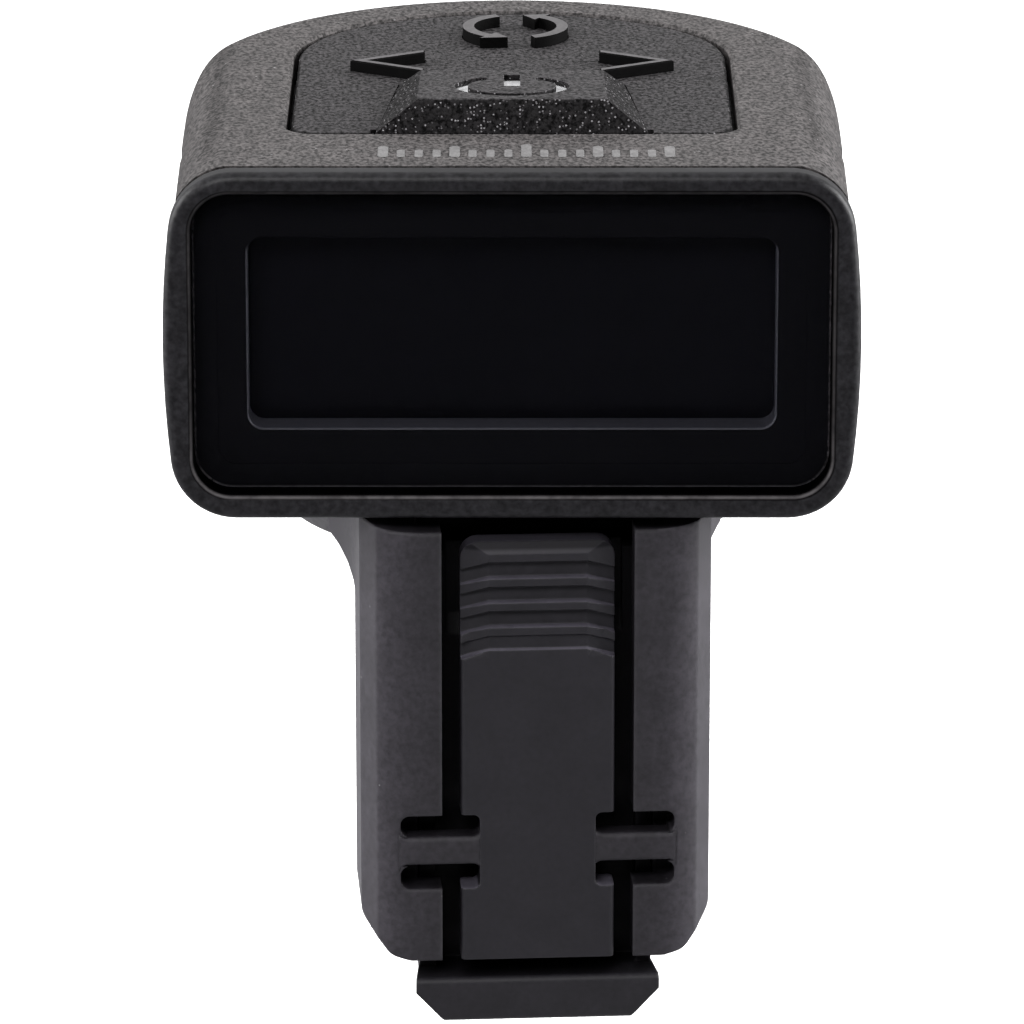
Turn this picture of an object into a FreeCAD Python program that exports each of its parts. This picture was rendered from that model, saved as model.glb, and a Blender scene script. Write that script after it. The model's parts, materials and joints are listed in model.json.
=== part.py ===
import FreeCAD, Part
import math
import os

# Clip-on instrument tuner: a swivelling display head on a ratchet clamp.
# Units mm. +X right, +Y towards the back, +Z up.
# Origin: on the head's swivel axis, in the plane of the fixed jaw pad's gripping face.
# In names, HW is a half width in X; Y0, Y1, Z0 and Z1 are lower and upper limits.

V = FreeCAD.Vector
SIDES = (-1, 1)                # left, right

# ------------------------------------------------------------------ head dimensions
HEAD_TURN = -3.75              # rest angle of the head on its swivel, degrees about +Z
HEAD_Z0 = 5.70                 # underside of the head
HEAD_Z1 = HEAD_Z0 + 15.40      # top of the head
HEAD_HW = 14.75                # also the radius of its round back
SHELL_Y = -16.40               # front plane of the shell
FLANK_TAPER = 0.28             # how much each flank draws in from the round back to the front
FACE_Y = -17.75                # front plane of the bezel
WALL = 1.40
CAVITY_Z1 = HEAD_Z1 - WALL
BASE_Z1 = 7.10                 # top of the head's base plate
# x, y, top of the screw boss
BASE_SCREWS = [(-11.90, -13.1, 8.55), (11.90, -13.1, 8.55), (-12.0, 2.2, 12.0), (12.0, 2.2, 12.0)]

BEZEL_HW = 15.07               # at mid height, where the barrel sides are widest
BEZEL_R = 2.85                 # corner radius
BEZEL_DROP = 0.13              # how far the bezel reaches below the head
WINDOW_HW = 13.78
WINDOW_Z0 = HEAD_Z0 + 0.99
WINDOW_Z1 = HEAD_Z0 + 14.43
WINDOW_R = 1.65
OPEN_HW = 11.42                # opening of the display frame
OPEN_Z0 = HEAD_Z0 + 3.62
OPEN_Z1 = HEAD_Z0 + 12.17

KEYPAD_HW = 9.90
KEYPAD_R = 11.44               # round back of the keypad aperture
KEYPAD_Y0 = -10.90
KEYPAD_GAP = 0.22
KEYPAD_TOP = HEAD_Z1 - 0.05
ICON_TOP = KEYPAD_TOP + 0.50   # top of the raised arrow and flip symbols
PLUNGER_Z0 = 18.40             # lower end of every key
PLUNGER_Z1 = 18.65             # top of the plunger plates
FLIP_X, FLIP_Y = 0.15, 6.85    # centre of the flip key

PCB_Z0, PCB_Z1 = 15.90, 16.70
LOW_PART_Z1 = PCB_Z0 - 0.05    # top of the parts under the board
HIGH_PART_Z0 = PCB_Z1 + 0.05   # bottom of the parts on the board
PCB_SCREWS = [(-12.0, -7.4), (12.0, -7.4)]

CELL_R = 10.0                  # coin cell, 20 mm by 3.2 mm
CELL_H = 3.2
CELL_Z0 = 8.10
CELL_Z1 = CELL_Z0 + CELL_H
DOOR_HW = 10.80                # battery door opening
DOOR_Z0, DOOR_Z1 = 7.20, 12.00
PIEZO_Y = 7.4
SPINDLE_R = 3.50
SPINDLE_Z0 = 2.60

# ------------------------------------------------------------------ clamp dimensions
CLAMP_Y = -17.45               # front face of the clamp sleeve and release lever
SLEEVE_HW = 7.72
SLEEVE_Y1 = -11.00
SLEEVE_Z0 = -14.90
PLATE_Z0 = 1.40                # swivel plate
PLATE_Z1 = HEAD_Z0 - 0.75
PLATE_R = 12.0
CHANNEL_HW = 5.22              # channel for the sliding rail
CHANNEL_Y0, CHANNEL_Y1 = -15.85, -12.45

LEVER_HW = 3.38
LEVER_Z1 = HEAD_Z0 - 1.27
LEVER_BACK = CLAMP_Y + 1.50
LEVER_SLOT_HW = 4.22           # outer edge of the vertical slots
WEB_Z0, WEB_Z1 = -10.45, -9.12     # torsion webs
CROSS_Z0, CROSS_Z1 = -11.55, -8.10  # outer limits of the cross slots
CROSS_X0, CROSS_X1 = 2.55, 6.05    # inner and outer ends of the cross slots
RIB_Z = [3.92, 2.79, 1.68, 0.55, -0.49]  # ledges of the grip ribs, from the top
RIB_DEPTH = 0.40
CROWN_HW = 2.15                # flat crest of the thumb zone
PAWL_Z1 = -13.58

RAIL_HW = 5.15
RAIL_Y1 = -12.52
RAIL_Z1 = 3.50
CREST_Y = -14.95               # rack tooth crests
TOOTH_PITCH = 1.00
TOOTH_H = 0.35
TOOTH_COUNT = 13
FOOT_HW = 5.40
FOOT_Z0, FOOT_Z1 = -17.85, -15.80
JAW_R = 7.1
JAW_TOP = -12.05
JAW_END_Y = 2.3                # centre of the round jaw end
JAW_GAP = 10.5                 # distance between the pads at rest
PAD_EDGE_R = 0.35


# ------------------------------------------------------------------ helpers
def box(x0, y0, z0, x1, y1, z1):
    """Box between two corners; x0 and x1 may come in either order."""
    return Part.makeBox(abs(x1 - x0), y1 - y0, z1 - z0, V(min(x0, x1), y0, z0))


def block(x, y, half_x, half_y, z0, z1):
    return box(x - half_x, y - half_y, z0, x + half_x, y + half_y, z1)


def cyl(radius, z0, z1, x=0.0, y=0.0):
    return Part.makeCylinder(radius, z1 - z0, V(x, y, z0), V(0, 0, 1))


def cyl_x(radius, length, y, z):
    return Part.makeCylinder(radius, length, V(-length / 2, y, z), V(1, 0, 0))


def extrude_points(points, direction):
    return Part.Face(Part.makePolygon(points + [points[0]])).extrude(direction)


def prism_x(points, x0, x1):
    return extrude_points([V(x0, y, z) for y, z in points], V(x1 - x0, 0, 0))


def prism_y(points, y0, y1):
    return extrude_points([V(x, y0, z) for x, z in points], V(0, y1 - y0, 0))


def prism_z(points, z0, z1):
    return extrude_points([V(x, y, z0) for x, y in points], V(0, 0, z1 - z0))


def arc(start, middle, end):
    return Part.Arc(start, middle, end).toShape()


def extrude_edges(edges, direction):
    return Part.Face(Part.Wire(edges)).extrude(direction)


# Edge tests. An edge is rounded or chamfered when it passes all the tests given.
def along(axis):
    def test(edge):
        bounds = edge.BoundBox
        size = {"x": bounds.XLength, "y": bounds.YLength, "z": bounds.ZLength}
        return size[axis] > 1e-6 and all(v < 1e-6 for k, v in size.items() if k != axis)
    return test


def flat_z(z):
    return lambda edge: abs(edge.BoundBox.ZMin - z) < 1e-4 and abs(edge.BoundBox.ZMax - z) < 1e-4


def flat_y(y):
    return lambda edge: abs(edge.BoundBox.YMin - y) < 1e-4 and abs(edge.BoundBox.YMax - y) < 1e-4


def reaches_y(y):
    return lambda edge: edge.BoundBox.YMax > y


def pick_edges(shape, tests):
    return [edge for edge in shape.Edges if all(test(edge) for test in tests)]


def fillet(shape, radius, *tests):
    return shape.makeFillet(radius, pick_edges(shape, tests))


def chamfer(shape, size, *tests):
    return shape.makeChamfer(size, pick_edges(shape, tests))


def rounded_y(x0, z0, x1, z1, radius, y0, y1):
    """Box with its edges along Y rounded."""
    return fillet(box(x0, y0, z0, x1, y1, z1), radius, along("y"))


def rounded_z(x0, y0, x1, y1, radius, z0, z1):
    """Box with its edges along Z rounded."""
    return fillet(box(x0, y0, z0, x1, y1, z1), radius, along("z"))


def one(shape):
    """The single solid of a boolean result, cleaned of seam edges."""
    shape = shape.removeSplitter()
    solids = shape.Solids
    return solids[0] if len(solids) == 1 else Part.makeCompound(solids)


def group(shapes):
    return Part.makeCompound([solid for shape in shapes for solid in shape.Solids])


def cut_cross(shape, x, y, half_length, half_width, z0, z1):
    """Cuts a cross recess into a screw head."""
    shape = shape.cut(block(x, y, half_length, half_width, z0, z1))
    return shape.cut(block(x, y, half_width, half_length, z0, z1))


# ------------------------------------------------------------------ shared head outlines
def head_outline(inset, y0, z0, z1):
    """Plan of the head: slightly tapered sides and a half-round back."""
    half = HEAD_HW - inset
    front_half = half - FLANK_TAPER * y0 / SHELL_Y
    front_left, front_right = V(-front_half, y0, z0), V(front_half, y0, z0)
    right, back, left = V(half, 0, z0), V(0, half, z0), V(-half, 0, z0)
    edges = [
        Part.makeLine(front_left, front_right),
        Part.makeLine(front_right, right),
        arc(right, back, left),
        Part.makeLine(left, front_left),
    ]
    return extrude_edges(edges, V(0, 0, z1 - z0))


def head_section():
    """Rounded front view of the head, as a block running the length of it."""
    half = 14.80
    return rounded_y(-half, HEAD_Z0 - BEZEL_DROP, half, HEAD_Z1 + 0.03, BEZEL_R, SHELL_Y - 1, 20)


def keypad_outline(grow, z0, z1):
    """Plan of the keypad: D shape, round at the back."""
    half = KEYPAD_HW + grow
    shape = cyl(KEYPAD_R + grow, z0, z1).common(box(-half, -0.5, z0 - 1, half, 20, z1 + 1))
    shape = one(shape.fuse(box(-half, KEYPAD_Y0 - grow, z0, half, 0.5, z1)))
    shape = fillet(shape, 1.35 + grow, along("z"), lambda edge: edge.BoundBox.YMax < -5)
    return fillet(
        shape, 8.0 + grow, along("z"),
        lambda edge: edge.BoundBox.YMin > 3 and abs(abs(edge.BoundBox.XMin) - half) < 0.01)


# ================================================================== head: shell and base
def head_shell():
    behind_front = reaches_y(SHELL_Y + 1)
    shell = head_outline(0, SHELL_Y, HEAD_Z0, HEAD_Z1)
    shell = fillet(shell, 1.20, flat_z(HEAD_Z1), behind_front)
    shell = fillet(shell, 1.00, flat_z(HEAD_Z0), behind_front)
    shell = shell.common(head_section())
    cavity = head_outline(WALL, SHELL_Y - 1, HEAD_Z0 - 1, CAVITY_Z1)
    shell = shell.cut(fillet(cavity, 0.5, flat_z(CAVITY_Z1), behind_front))

    # keypad aperture with a broken edge
    shell = shell.cut(keypad_outline(0, CAVITY_Z1 - 0.5, HEAD_Z1 + 1))
    margin = 0.05
    shell = chamfer(
        shell, 0.12, flat_z(HEAD_Z1),
        lambda edge: edge.BoundBox.XMax < KEYPAD_HW + margin
        and edge.BoundBox.XMin > -KEYPAD_HW - margin
        and edge.BoundBox.YMin > KEYPAD_Y0 - margin)

    # battery door opening in the back
    shell = shell.cut(box(-DOOR_HW, 5.0, DOOR_Z0, DOOR_HW, 16.0, DOOR_Z1))

    # shallow finger scallops on both flanks
    scallop_r, scallop_depth, scallop_y = 9.0, 0.26, -8.2
    for side in SIDES:
        x = side * (HEAD_HW + scallop_r - scallop_depth)
        shell = shell.cut(cyl(scallop_r, HEAD_Z0 - 1, HEAD_Z1 + 1, x, scallop_y))

    # ribbed screw bosses for the base, and bosses hanging from the roof for the circuit board
    boss_r, boss_z0 = 1.05, 7.15
    limit = head_outline(0.6, SHELL_Y + 0.1, HEAD_Z0, HEAD_Z1 - 0.3)
    for x, y, top in BASE_SCREWS:
        shell = shell.fuse(cyl(boss_r, boss_z0, top, x, y).common(limit))
        rib = box(x, y - 0.5, boss_z0, math.copysign(14.0, x), y + 0.5, top)
        shell = shell.fuse(rib.common(limit))
    for x, y in PCB_SCREWS:
        shell = shell.fuse(cyl(boss_r, HIGH_PART_Z0, CAVITY_Z1 + 0.3, x, y).common(limit))
    for x, y, top in BASE_SCREWS:
        shell = shell.cut(cyl(0.62, 7.0, top - 0.3, x, y))
    for x, y in PCB_SCREWS:
        shell = shell.cut(cyl(0.48, 16.0, 18.7, x, y))
    return one(shell)


def head_base():
    """Base plate with the hollow swivel spindle and a guide wall on each side of the tray."""
    base = head_outline(WALL + 0.05, SHELL_Y + 0.05, HEAD_Z0, BASE_Z1)
    base = base.common(head_section())
    base = base.fuse(cyl(SPINDLE_R, SPINDLE_Z0, HEAD_Z0 + 0.5))
    for side in SIDES:
        base = base.fuse(box(side * 10.85, -10.0, 7.0, side * 11.60, 0.8, 11.6))
    base = base.cut(cyl(0.85, 2.0, 6.60))
    # seat for the piezo disc
    base = base.cut(cyl(5.05, 6.65, 8.0, 0, PIEZO_Y).cut(box(-12, -12, 6, 12, 1.5, 9)))
    for x, y, _ in BASE_SCREWS:
        base = base.cut(cyl(0.75, 5, 8, x, y))
        base = base.cut(cyl(1.00, 5, 6.45, x, y))
    # round the spindle's outer edge, not the small bore
    base = fillet(base, 0.25, flat_z(SPINDLE_Z0), lambda edge: edge.BoundBox.XLength > 3)
    return one(base)


# ================================================================== head: bezel and display
DISPLAY_BACK = SHELL_Y - 0.05      # back plane of the bezel and lens
FRAME_Y = SHELL_Y + 0.05           # front plane of the display frame


def bezel_block():
    """Solid bezel with barrel sides and rounded corners."""
    corner_z0 = HEAD_Z0 - BEZEL_DROP + BEZEL_R
    corner_z1 = HEAD_Z1 - BEZEL_R
    side_angle = math.radians(6.4)     # direction of the barrel side at the corners
    side_bulge = 0.289
    corner_x = BEZEL_HW - side_bulge - BEZEL_R * math.cos(side_angle)
    mid_z = 0.5 * (corner_z0 + corner_z1)
    quarter, eighth = math.pi / 2, math.pi / 4

    def on_corner(x, z, angle):
        return V(x + BEZEL_R * math.cos(angle), FACE_Y, z + BEZEL_R * math.sin(angle))

    bottom_right = on_corner(corner_x, corner_z0, -quarter)
    right_low = on_corner(corner_x, corner_z0, -side_angle)
    right_high = on_corner(corner_x, corner_z1, side_angle)
    top_right = on_corner(corner_x, corner_z1, quarter)
    top_left = on_corner(-corner_x, corner_z1, quarter)
    left_high = on_corner(-corner_x, corner_z1, math.pi - side_angle)
    left_low = on_corner(-corner_x, corner_z0, math.pi + side_angle)
    bottom_left = on_corner(-corner_x, corner_z0, -quarter)
    edges = [
        arc(bottom_right, on_corner(corner_x, corner_z0, -eighth), right_low),
        arc(right_low, V(BEZEL_HW, FACE_Y, mid_z), right_high),
        arc(right_high, on_corner(corner_x, corner_z1, eighth), top_right),
        Part.makeLine(top_right, top_left),
        arc(top_left, on_corner(-corner_x, corner_z1, 3 * eighth), left_high),
        arc(left_high, V(-BEZEL_HW, FACE_Y, mid_z), left_low),
        arc(left_low, on_corner(-corner_x, corner_z0, -3 * eighth), bottom_left),
        Part.makeLine(bottom_left, bottom_right),
    ]
    return extrude_edges(edges, V(0, DISPLAY_BACK - FACE_Y, 0))


def front_bezel():
    def outer(edge):
        centre = edge.CenterOfMass
        return (abs(centre.x) > WINDOW_HW + 0.03
                or centre.z < WINDOW_Z0 - 0.03 or centre.z > WINDOW_Z1 + 0.03)

    bezel = bezel_block().cut(rounded_y(
        -WINDOW_HW, WINDOW_Z0, WINDOW_HW, WINDOW_Z1, WINDOW_R, FACE_Y - 1, SHELL_Y + 1))
    bezel = fillet(bezel, 0.42, flat_y(FACE_Y), outer)
    bezel = fillet(bezel, 0.28, flat_y(FACE_Y), lambda edge: not outer(edge))
    return one(chamfer(bezel, 0.25, flat_y(DISPLAY_BACK), outer))


def display_lens():
    gap, front, half = 0.03, FACE_Y + 0.30, WINDOW_HW - 0.03
    lens = rounded_y(
        -half, WINDOW_Z0 + gap, half, WINDOW_Z1 - gap, WINDOW_R - gap, front, DISPLAY_BACK)
    return one(chamfer(lens, 0.30, flat_y(front)))


def lcd_frame():
    frame = box(-12.90, FRAME_Y, 7.15, 12.90, -14.85, 19.65)
    frame = chamfer(frame, 0.6, along("y"))
    frame = frame.cut(rounded_y(-OPEN_HW, OPEN_Z0, OPEN_HW, OPEN_Z1, 0.65, -18, -14))
    margin = 0.05
    frame = chamfer(
        frame, 0.07, flat_y(FRAME_Y),
        lambda edge: abs(edge.CenterOfMass.x) < OPEN_HW + margin
        and OPEN_Z0 - margin < edge.CenterOfMass.z < OPEN_Z1 + margin)
    return one(frame)


def lcd_panel():
    panel = box(-12.2, -14.80, OPEN_Z0 - 0.75, 12.2, -13.40, OPEN_Z1 + 0.95)
    # step along the top front edge
    return one(panel.cut(box(-12.3, -14.81, OPEN_Z1 + 0.60, 12.3, -14.10, OPEN_Z1 + 1)))


def lcd_backlight():
    light = box(-11.9, -13.35, OPEN_Z0 - 0.5, 11.9, -11.95, OPEN_Z1 + 0.7)
    return one(chamfer(light, 0.3, along("y")))


def lcd_flex_ribbon():
    """Flat ribbon from the top of the panel down to its connector."""
    outline = [  # y, z
        (-14.00, 18.86), (-14.00, 19.22), (-11.60, 19.22), (-11.60, 17.72),
        (-11.72, 17.72), (-11.72, 19.10), (-13.88, 19.10), (-13.88, 18.86),
    ]
    return one(prism_x(outline, -6.0, 6.0))


def lcd_connector():
    body = box(-6.4, -11.68, HIGH_PART_Z0, 6.4, -10.6, 17.68)
    return one(body.cut(box(-6.0, -11.2, 17.3, 6.0, -10.85, 18)))


# ================================================================== head: keys
# Power key: raised wedge, highest at the front and falling towards the back. Outlines are x, y.
POWER_FOOT = [(-5.95, -10.66), (5.95, -10.66), (5.06, -2.05), (-5.06, -2.05)]
POWER_CROWN = [(-4.15, -10.02), (4.15, -10.02), (4.05, -2.45), (-4.05, -2.45)]
POWER_COLUMN = [(-5.0, -9.7), (5.0, -9.7), (4.9, -5.0), (4.0, -2.9), (-4.0, -2.9), (-4.9, -5.0)]
POWER_SLOPE = math.tan(math.radians(4.5))
POWER_HIGH = HEAD_Z1 + 1.32        # top of the front edge
POWER_SKIN = 0.25                  # thickness over the light guide


def power_top(y):
    return POWER_HIGH - (y - POWER_CROWN[0][1]) * POWER_SLOPE


def slice_off(shape, point_a, point_b, point_c, inside):
    """Removes what lies beyond the plane through three points, away from `inside`."""
    normal = (point_b - point_a).cross(point_c - point_a)
    normal.normalize()
    if normal.dot(inside - point_a) > 0:
        normal = normal * -1
    tool = Part.makeBox(60, 60, 20, V(-30, -30, 0))
    tool.Placement = FreeCAD.Placement(point_a, FreeCAD.Rotation(V(0, 0, 1), normal))
    return shape.cut(tool)


def guide_block(grow, z0, drop):
    """Block following the sloping top of the power key, `drop` below its skin."""
    half = 3.15 + grow
    y0, y1 = -9.35 - grow, -3.50 + grow
    top0, top1 = (power_top(y) - POWER_SKIN - drop for y in (y0, y1))
    return prism_x([(y0, z0), (y1, z0), (y1, top1), (y0, top0)], -half, half)


def power_key():
    key = prism_z(POWER_FOOT, 19.60, POWER_HIGH + 0.5)
    inside = V(0, -6, 19.8)
    low = [V(x, y, KEYPAD_TOP + 0.03) for x, y in POWER_FOOT]
    high = [V(x, y, power_top(y)) for x, y in POWER_CROWN]
    planes = [
        (high[0], high[1], high[2]),    # top
        (low[0], low[1], high[0]),      # front
        (high[1], high[2], low[1]),     # right
        (high[0], high[3], low[0]),     # left
        (low[2], low[3], high[2]),      # back
    ]
    for point_a, point_b, point_c in planes:
        key = slice_off(key, point_a, point_b, point_c, inside)
    key = fillet(one(key), 0.22, lambda edge: edge.BoundBox.ZMin > HEAD_Z1 + 0.50)
    key = key.fuse(prism_z(POWER_COLUMN, PLUNGER_Z0, 19.70))
    key = key.cut(guide_block(0.03, 18.0, 0.0))     # pocket for the light guide

    # engraved symbol: ring open at the back, with a bar in the opening
    y, z = -6.62, HEAD_Z1
    ring = cyl(2.55, z, z + 3, 0, y).cut(cyl(1.95, z - 1, z + 4, 0, y))
    ring = ring.cut(prism_z([(0, y), (-2.2, y + 4), (2.2, y + 4)], z - 1, z + 4))
    return one(key.cut(ring.fuse(box(-0.36, y - 0.05, z, 0.36, y + 2.85, z + 3))))


def power_light_guide():
    return one(guide_block(0.0, 18.45, 0.03).cut(cyl(0.9, 18.0, 18.95, 0, -6.0)))


def chevron(side, grow, z0, z1):
    """Open chevron pointing outwards, grown all round by `grow`."""
    tip, end, mid_y, half_y = 7.30, 3.95, 0.42, 1.95
    stroke = 0.42 + 2 * grow
    length = tip - end
    slant = math.hypot(length, half_y)
    tip_out = tip + grow * slant / half_y
    tip_in = tip_out - stroke * slant / half_y
    arm_x = end - grow
    arm_out = half_y + grow * slant / length + grow * half_y / length
    arm_in = arm_out - stroke * slant / length
    points = [
        (tip_out, mid_y), (arm_x, mid_y + arm_out), (arm_x, mid_y + arm_in),
        (tip_in, mid_y), (arm_x, mid_y - arm_in), (arm_x, mid_y - arm_out),
    ]
    return prism_z([(side * x, y) for x, y in points], z0, z1)


def arrow_key(side):
    """Raised chevron on a hidden plunger plate."""
    key = chevron(side, 0.0, PLUNGER_Z0, ICON_TOP)
    # the plate's x limits run from low to high on both sides
    x0, x1 = sorted((side * 3.7, side * 7.4))
    key = one(key.fuse(rounded_z(x0, -1.75, x1, 2.6, 0.5, PLUNGER_Z0, PLUNGER_Z1)))
    return one(chamfer(key, 0.06, flat_z(ICON_TOP)))


def curved_arrow(turn, grow, z0, z1):
    """Arc with an arrowhead, about the flip key's centre, turned by `turn` degrees."""
    outer_r, inner_r = 2.42 + grow, 1.90 - grow
    start = math.radians(112) - grow / 2.0
    end = math.radians(238) + grow / 2.0
    middle = 0.5 * (start + end)

    def polar(radius, angle):
        return V(radius * math.cos(angle), radius * math.sin(angle), z0)

    up = V(0, 0, z1 - z0)
    body = extrude_edges([
        arc(polar(outer_r, start), polar(outer_r, middle), polar(outer_r, end)),
        Part.makeLine(polar(outer_r, end), polar(inner_r, end)),
        arc(polar(inner_r, end), polar(inner_r, middle), polar(inner_r, start)),
        Part.makeLine(polar(inner_r, start), polar(outer_r, start)),
    ], up)
    mid_r, barb = 0.5 * (outer_r + inner_r), 0.62 + grow
    barb_angle = end - 0.06 - grow / 2
    tip_angle = end + 0.40 + grow / 2
    arrowhead = extrude_points([
        polar(mid_r + barb, barb_angle), polar(mid_r - barb, barb_angle), polar(mid_r, tip_angle),
    ], up)
    arrow = one(body.fuse(arrowhead))
    arrow.rotate(V(0, 0, 0), V(0, 0, 1), turn)
    arrow.translate(V(FLIP_X, FLIP_Y, 0))
    return arrow


def flip_key():
    """Display flip key: two curved arrows chasing each other."""
    key = curved_arrow(0, 0, PLUNGER_Z0, ICON_TOP).fuse(curved_arrow(180, 0, PLUNGER_Z0, ICON_TOP))
    return one(key.fuse(cyl(2.6, PLUNGER_Z0, PLUNGER_Z1, FLIP_X, FLIP_Y)))


def grown(points, grow):
    """Outline scaled about its mean point so that its extremes move out by `grow`."""
    mid_x = sum(x for x, y in points) / len(points)
    mid_y = sum(y for x, y in points) / len(points)
    scale_x = 1 + grow / (max(x for x, y in points) - mid_x)
    scale_y = 1 + grow / max(abs(y - mid_y) for x, y in points)
    return [(mid_x + (x - mid_x) * scale_x, mid_y + (y - mid_y) * scale_y) for x, y in points]


def keypad_membrane():
    flange_z0 = 18.70
    membrane = keypad_outline(0.55, flange_z0, CAVITY_Z1 - 0.08)
    membrane = membrane.fuse(keypad_outline(-KEYPAD_GAP, flange_z0, KEYPAD_TOP))
    membrane = fillet(membrane, 0.20, flat_z(KEYPAD_TOP))
    gap = 0.04                      # round the raised symbols
    for side in SIDES:
        membrane = membrane.cut(chevron(side, gap, 18.0, 22))
    for turn in (0, 180):
        membrane = membrane.cut(curved_arrow(turn, gap, 18.0, 22))
    # opening round the power key: full outline above, smaller column below
    step_z = 19.25
    membrane = membrane.cut(prism_z(grown(POWER_FOOT, 0.03), step_z, 22))
    front_strip = box(-6.2, -11.0, step_z, 6.2, -10.0, 22)
    membrane = membrane.cut(front_strip.common(keypad_outline(-KEYPAD_GAP + 0.01, 18, 23)))
    return one(membrane.cut(prism_z(grown(POWER_COLUMN, 0.06), 18.0, 19.5)))


# ================================================================== head: circuit board
# switch: x, y, top of the stem
SWITCHES = {
    "power": (0.0, -6.0, 18.90),
    "left": (-5.5, 0.3, 18.35),
    "right": (5.5, 0.3, 18.35),
    "flip": (FLIP_X, FLIP_Y, 18.35),
}


def main_circuit_board():
    board = head_outline(WALL + 0.5, -11.80, PCB_Z0, PCB_Z1)
    for x, y in PCB_SCREWS:
        board = board.cut(cyl(0.55, 15, 18, x, y))
    return one(board)


def pcb_screws():
    screws = []
    for x, y in PCB_SCREWS:
        screw = cyl(0.43, 15.85, 18.3, x, y).fuse(cyl(0.95, 15.30, 15.87, x, y))
        screws.append(screw.cut(block(x, y, 0.6, 0.12, 15.2, 15.5)))
    return group(screws)


def tact_switches():
    housings = []
    for x, y, _ in SWITCHES.values():
        housing = chamfer(block(x, y, 1.6, 1.6, HIGH_PART_Z0, 17.90), 0.25, along("z"))
        housings.append(housing.cut(cyl(0.80, 17.10, 18.5, x, y)))
    return group(housings)


def switch_stem(x, y, top):
    return one(cyl(0.75, 17.50, top, x, y))


def power_led():
    return one(block(0, -8.7, 0.8, 0.5, HIGH_PART_Z0, 17.45).fuse(cyl(0.35, 17.4, 17.6, 0, -8.7)))


def microcontroller():
    chip = chamfer(box(2.2, -6.2, 14.95, 7.2, -1.2, LOW_PART_Z1), 0.3, along("z"))
    leg_pitch, leg_width, leg_z0 = 0.54, 0.24, 15.55
    for i in range(8):
        y = -5.6 + leg_pitch * i
        for x0, x1 in ((7.15, 7.75), (1.65, 2.25)):
            chip = chip.fuse(box(x0, y, leg_z0, x1, y + leg_width, LOW_PART_Z1))
    return one(chip)


def crystal():
    return one(rounded_z(-7.6, -5.6, -4.2, -4.2, 0.65, 14.75, LOW_PART_Z1))


def smd_components():
    centres = [  # x, y
        (-8.6, -1.2), (-8.6, 0.6), (-8.6, 2.4), (-3.6, 3.4), (-1.8, 3.4),
        (0.6, 3.4), (9.2, 1.4), (9.2, 3.2), (4.5, 6.2), (6.4, 6.2),
    ]
    return group([block(x, y, 0.5, 0.28, 15.35, LOW_PART_Z1) for x, y in centres])


# ================================================================== head: battery and contacts
CONTACT_Z1 = 15.86                 # upper end of both contacts


def battery_tray():
    tray = box(-10.70, -10.90, 7.55, 10.70, 9.0, 11.25)
    door = head_outline(0.0, SHELL_Y, DOOR_Z0 + 0.07, DOOR_Z1 - 0.07)
    door_hw = DOOR_HW - 0.08
    tray = tray.fuse(door.common(box(-door_hw, 7.9, 7.0, door_hw, 16, 12.2)))
    tray = tray.cut(cyl(CELL_R + 0.08, CELL_Z0 - 0.05, 14))
    tray = tray.cut(cyl(6.5, 7.0, 9.0))
    tray = tray.cut(box(-2.3, -12.0, 7.0, 2.3, -1.0, 8.12))
    # shallow groove across the back of the door
    return one(tray.cut(cyl_x(0.55, 9.0, 15.05, 9.6)))


def coin_cell():
    can_z0 = CELL_Z0 + 0.28
    cell = cyl(CELL_R, can_z0, CELL_Z1)
    cell = fillet(cell, 0.3, lambda edge: flat_z(CELL_Z1)(edge) or flat_z(can_z0)(edge))
    return one(cell.fuse(cyl(8.8, CELL_Z0, CELL_Z0 + 0.4)))


def battery_contact_positive():
    z0, z1 = 11.52, 11.70
    contact = box(-2.0, -9.8, z0, 2.0, -3.6, z1).fuse(box(-2.0, -10.0, z0, 2.0, -9.8, CONTACT_Z1))
    return one(contact.fuse(cyl_x(0.25, 3.0, -4.4, 11.60)))


def battery_contact_negative():
    z0, z1 = 7.13, 7.31
    contact = box(-1.8, -11.1, z0, 1.8, -1.6, z1)
    contact = contact.fuse(box(-0.8, -11.3, z0, 0.8, -11.12, CONTACT_Z1))
    contact = contact.fuse(box(-0.8, -11.2, z0, 0.8, -11.0, z1))
    tongue = [  # y, z
        (-5.0, z1), (-4.8, z1), (-2.9, 7.90), (-2.5, 7.90), (-2.5, 8.05), (-3.0, 8.05), (-5.0, 7.45),
    ]
    return one(contact.fuse(prism_x(tongue, -1.2, 1.2)))


# ================================================================== head: vibration sensor
def piezo_disc():
    return one(cyl(4.9, 6.68, 6.88, 0, PIEZO_Y).cut(box(-12, -12, 6, 12, 1.8, 9)))


def piezo_ceramic():
    return one(cyl(3.2, 6.90, 7.06, 0, PIEZO_Y))


def piezo_wires():
    """Two wires that run out to the right, then bend up to the board."""
    z, x_end, bend, top, wire_r = 7.33, 11.3, 0.8, 15.80, 0.17
    inset = bend * (1 - math.sqrt(0.5))
    wires = []
    for x, y in ((1.6, 5.2), (2.6, 6.0)):
        start, bend_start, bend_end = V(x, y, z), V(x_end - bend, y, z), V(x_end, y, z + bend)
        path = Part.Wire([
            Part.makeLine(start, bend_start),
            arc(bend_start, V(x_end - inset, y, z + inset), bend_end),
            Part.makeLine(bend_end, V(x_end, y, top)),
        ])
        profile = Part.Wire([Part.makeCircle(wire_r, start, V(1, 0, 0))])
        wires.append(path.makePipeShell([profile], True, True))
    return group(wires)


# ================================================================== fasteners and swivel parts
def case_screws():
    screws = []
    for x, y, _ in BASE_SCREWS:
        screw = cyl(0.57, 6.3, 8.2, x, y).fuse(cyl(0.92, 5.85, 6.40, x, y))
        screws.append(one(cut_cross(screw, x, y, 0.60, 0.13, 5.6, 6.12)))
    return group(screws)


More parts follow.
